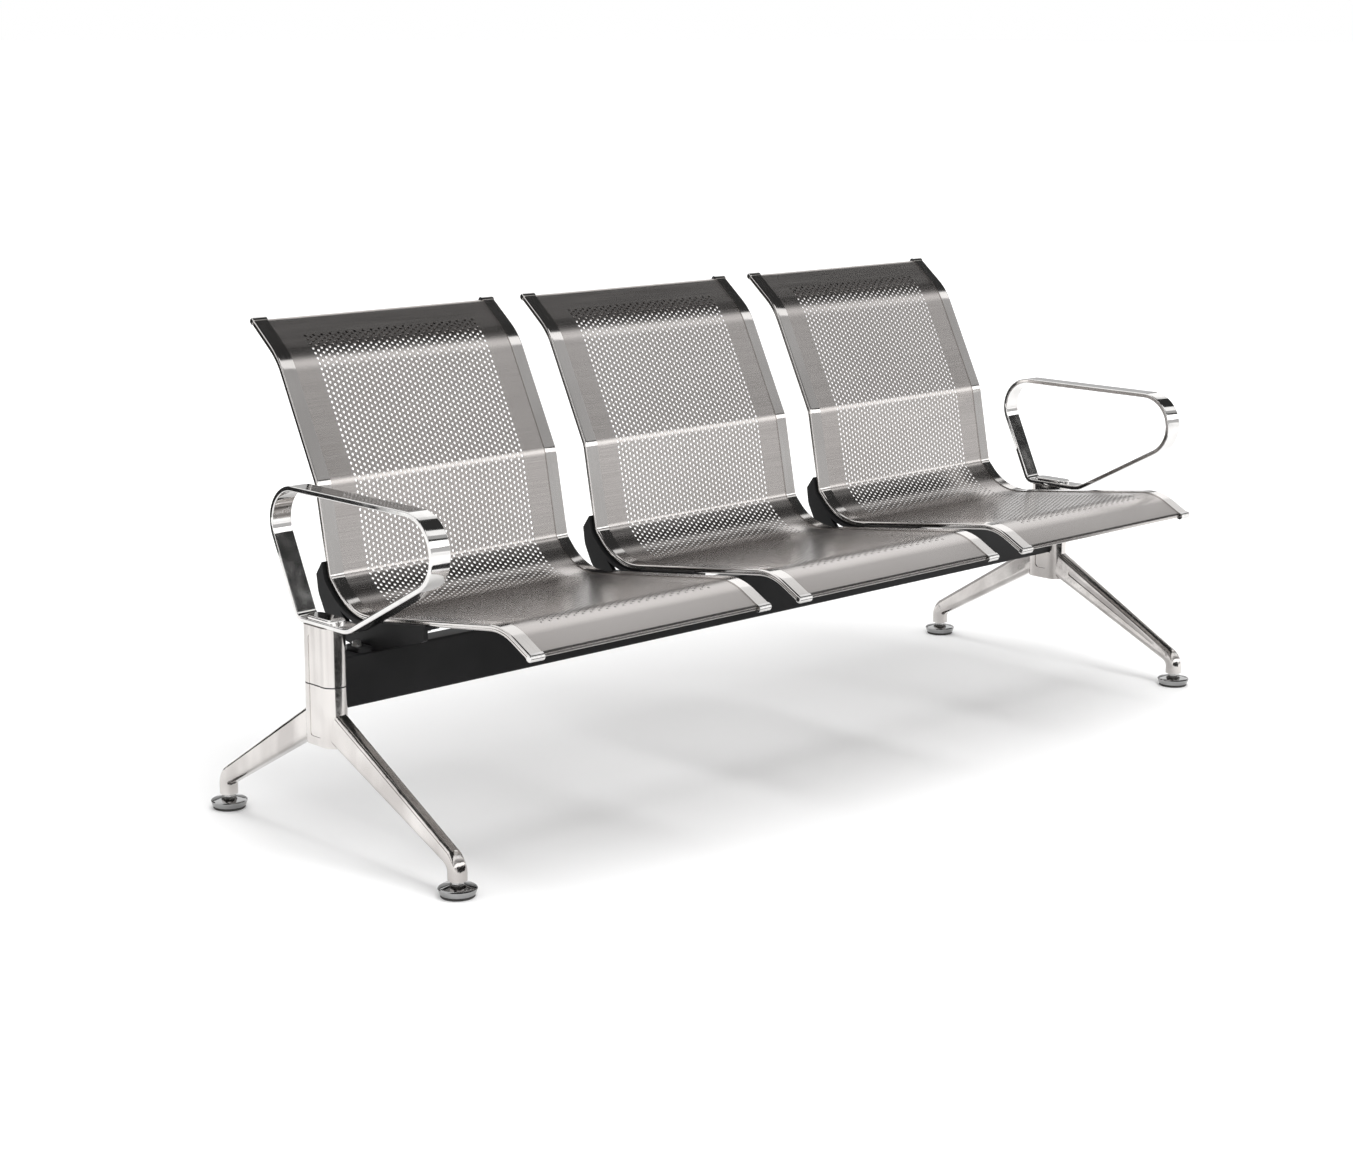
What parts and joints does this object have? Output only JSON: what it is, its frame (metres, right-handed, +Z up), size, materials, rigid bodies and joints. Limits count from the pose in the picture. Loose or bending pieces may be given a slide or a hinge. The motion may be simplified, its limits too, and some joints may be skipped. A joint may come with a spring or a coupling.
{
  "type": "beam seating",
  "caption": "Waiting bench with perforated steel seats on a dark beam, looped flat-bar armrests and splayed polished legs.",
  "frame": {"origin": "on the floor, centred under the whole bench", "axes": "+X along the beam to the sitter's left hand, +Y from the front lip to the backs, +Z up; sitters face -Y"},
  "size_m": [1.794, 0.6839, 0.7746],
  "materials": {
    "brushed_sheet": "brushed steel sheet, satin",
    "polished_rail": "polished extruded rail",
    "polished_casting": "polished casting",
    "chrome": "bright plated",
    "black_paint": "satin black powder coat",
    "plated_fastener": "zinc plated",
    "gasket_rubber": "matte rubber",
    "pad_rubber": "matte rubber"
  },
  "bodies": {
    "bench": {"beam": "black_paint", "beam_nuts": "plated_fastener", "seat_1_shell": "brushed_sheet", "seat_1_top_end_caps": "chrome", "seat_1_front_end_caps": "chrome", "seat_1_rail_screws": "plated_fastener", "seat_1_bracket_bolts": "plated_fastener", "seat_1_left_rail": "polished_rail", "seat_1_left_bracket": "black_paint", "seat_1_right_rail": "polished_rail", "seat_1_right_bracket": "black_paint", "seat_2_shell": "brushed_sheet", "seat_2_top_end_caps": "chrome", "seat_2_front_end_caps": "chrome", "seat_2_rail_screws": "plated_fastener", "seat_2_bracket_bolts": "plated_fastener", "seat_2_left_rail": "polished_rail", "seat_2_left_bracket": "black_paint", "seat_2_right_rail": "polished_rail", "seat_2_right_bracket": "black_paint", "seat_3_shell": "brushed_sheet", "seat_3_top_end_caps": "chrome", "seat_3_front_end_caps": "chrome", "seat_3_rail_screws": "plated_fastener", "seat_3_bracket_bolts": "plated_fastener", "seat_3_left_rail": "polished_rail", "seat_3_left_bracket": "black_paint", "seat_3_right_rail": "polished_rail", "seat_3_right_bracket": "black_paint", "left_leg": "polished_casting", "left_column": "polished_casting", "left_column_gasket": "gasket_rubber", "left_clamp_bolts": "plated_fastener", "left_armrest": "chrome", "left_armrest_plate": "chrome", "left_armrest_screws": "plated_fastener", "right_leg": "polished_casting", "right_column": "polished_casting", "right_column_gasket": "gasket_rubber", "right_clamp_bolts": "plated_fastener", "right_armrest": "chrome", "right_armrest_plate": "chrome", "right_armrest_screws": "plated_fastener"},
    "front_left_glide_base": {"front_left_glide_cap": "chrome", "front_left_glide_pad": "pad_rubber"},
    "front_left_glide_screw": {"front_left_glide_stem": "plated_fastener"},
    "rear_left_glide_base": {"rear_left_glide_cap": "chrome", "rear_left_glide_pad": "pad_rubber"},
    "rear_left_glide_screw": {"rear_left_glide_stem": "plated_fastener"},
    "front_right_glide_base": {"front_right_glide_cap": "chrome", "front_right_glide_pad": "pad_rubber"},
    "front_right_glide_screw": {"front_right_glide_stem": "plated_fastener"},
    "rear_right_glide_base": {"rear_right_glide_cap": "chrome", "rear_right_glide_pad": "pad_rubber"},
    "rear_right_glide_screw": {"rear_right_glide_stem": "plated_fastener"}
  },
  "joints": [
    {"name": "front_left_glide_lift", "type": "slide", "parent": "bench", "child": "front_left_glide_base", "axis": [0, 0, -1], "range_m": [0, 0.015]},
    {"name": "front_left_glide_turn", "type": "hinge", "parent": "front_left_glide_base", "child": "front_left_glide_screw", "pos_m": [-0.868, -0.266, 0.02], "axis": [0, 0, -1], "range_deg": [0, 3600]},
    {"name": "rear_left_glide_lift", "type": "slide", "parent": "bench", "child": "rear_left_glide_base", "axis": [0, 0, -1], "range_m": [0, 0.015]},
    {"name": "rear_left_glide_turn", "type": "hinge", "parent": "rear_left_glide_base", "child": "rear_left_glide_screw", "pos_m": [-0.868, 0.313, 0.02], "axis": [0, 0, -1], "range_deg": [0, 3600]},
    {"name": "front_right_glide_lift", "type": "slide", "parent": "bench", "child": "front_right_glide_base", "axis": [0, 0, -1], "range_m": [0, 0.015]},
    {"name": "front_right_glide_turn", "type": "hinge", "parent": "front_right_glide_base", "child": "front_right_glide_screw", "pos_m": [0.868, -0.266, 0.02], "axis": [0, 0, -1], "range_deg": [0, 3600]},
    {"name": "rear_right_glide_lift", "type": "slide", "parent": "bench", "child": "rear_right_glide_base", "axis": [0, 0, -1], "range_m": [0, 0.015]},
    {"name": "rear_right_glide_turn", "type": "hinge", "parent": "rear_right_glide_base", "child": "rear_right_glide_screw", "pos_m": [0.868, 0.313, 0.02], "axis": [0, 0, -1], "range_deg": [0, 3600]}
  ],
  "couplings": [
    {"joint": "front_left_glide_turn", "follows": "front_left_glide_lift", "rad_per_m": 4188.8},
    {"joint": "rear_left_glide_turn", "follows": "rear_left_glide_lift", "rad_per_m": 4188.8},
    {"joint": "front_right_glide_turn", "follows": "front_right_glide_lift", "rad_per_m": 4188.8},
    {"joint": "rear_right_glide_turn", "follows": "rear_right_glide_lift", "rad_per_m": 4188.8}
  ]
}
